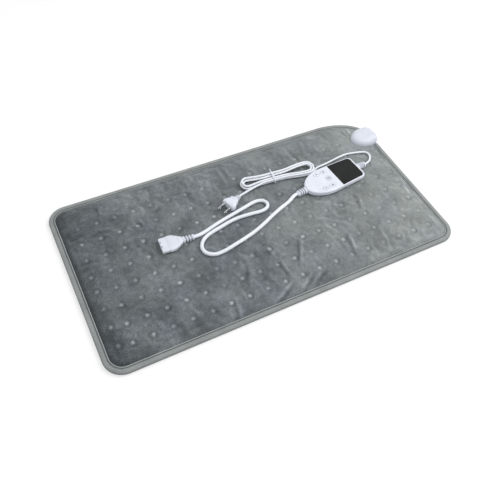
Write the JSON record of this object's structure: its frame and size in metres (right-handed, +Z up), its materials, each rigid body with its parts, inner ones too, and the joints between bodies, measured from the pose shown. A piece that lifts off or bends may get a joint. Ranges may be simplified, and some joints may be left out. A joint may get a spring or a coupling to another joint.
{
  "type": "heating pad",
  "caption": "Flat plush electric heating pad with bound edges, a corner socket, and a hand controller with keys, display, plug-in lead and tied mains lead.",
  "frame": {"origin": "middle of the flat underside of the pad", "axes": "+X along the long side towards the socket end, +Y across the pad, +Z up out of the plush face"},
  "size_m": [0.5809, 0.305, 0.0241],
  "materials": {
    "plush": "short-pile plush",
    "tape": "woven binding tape",
    "felt": "needled felt",
    "white_plastic": "moulded, satin gloss",
    "cord": "extruded jacket",
    "black_gloss": "polished dark window",
    "dark_plastic": "moulded",
    "board": "solder mask",
    "brass": "plated",
    "steel": "bright",
    "heating_wire": "insulated wire"
  },
  "bodies": {
    "pad": {"edge_binding": "tape", "bottom_cover": "plush", "top_cover": "plush", "carrier_felt": "felt", "padding_felt": "felt", "heating_wire": "heating_wire", "thermal_cutout": "dark_plastic", "socket_base": "white_plastic", "socket_dome": "white_plastic", "pin_block": "dark_plastic", "contact_pin_1": "brass", "contact_pin_2": "brass", "contact_pin_3": "brass", "socket_screw_1": "steel", "socket_screw_2": "steel"},
    "control_set": {"connector_boot": "white_plastic", "connector_shell": "white_plastic", "connector_contact_1": "brass", "connector_contact_2": "brass", "connector_contact_3": "brass", "connector_nose": "white_plastic", "pad_lead_relief": "white_plastic", "mains_lead_relief": "white_plastic", "lower_case": "white_plastic", "upper_case": "white_plastic", "display_window": "black_gloss", "lcd_panel": "dark_plastic", "lcd_frame": "white_plastic", "circuit_board": "board", "triac": "dark_plastic", "capacitor": "dark_plastic", "fuse_link": "steel", "case_screw_1": "steel", "case_screw_2": "steel", "case_screw_3": "steel", "case_screw_4": "steel", "power_switch": "dark_plastic", "timer_down_switch": "dark_plastic", "timer_up_switch": "dark_plastic", "heat_down_switch": "dark_plastic", "heat_up_switch": "dark_plastic", "plug_blade_left": "steel", "plug_blade_right": "steel", "plug_boot": "white_plastic", "plug_body": "white_plastic", "mains_hank": "cord", "hank_tie": "white_plastic", "pad_lead": "cord", "mains_lead": "cord", "plug_tail": "cord"},
    "power_key": {"power_key": "white_plastic"},
    "timer_down_key": {"timer_down_key": "white_plastic"},
    "timer_up_key": {"timer_up_key": "white_plastic"},
    "heat_down_key": {"heat_down_key": "white_plastic"},
    "heat_up_key": {"heat_up_key": "white_plastic"}
  },
  "joints": [
    {"name": "control_set_lift", "type": "slide", "parent": "pad", "child": "control_set", "axis": [0, 0, 1], "range_m": [0, 0.15]},
    {"name": "power_key_press", "type": "slide", "parent": "control_set", "child": "power_key", "axis": [0, 0, -1], "range_m": [0, 0.0006], "stiffness_N_per_m": 800, "springref_m": -0.0005},
    {"name": "timer_down_key_press", "type": "slide", "parent": "control_set", "child": "timer_down_key", "axis": [0, 0, -1], "range_m": [0, 0.0006], "stiffness_N_per_m": 800, "springref_m": -0.0005},
    {"name": "timer_up_key_press", "type": "slide", "parent": "control_set", "child": "timer_up_key", "axis": [0, 0, -1], "range_m": [0, 0.0006], "stiffness_N_per_m": 800, "springref_m": -0.0005},
    {"name": "heat_down_key_press", "type": "slide", "parent": "control_set", "child": "heat_down_key", "axis": [0, 0, -1], "range_m": [0, 0.0006], "stiffness_N_per_m": 800, "springref_m": -0.0005},
    {"name": "heat_up_key_press", "type": "slide", "parent": "control_set", "child": "heat_up_key", "axis": [0, 0, -1], "range_m": [0, 0.0006], "stiffness_N_per_m": 800, "springref_m": -0.0005}
  ]
}
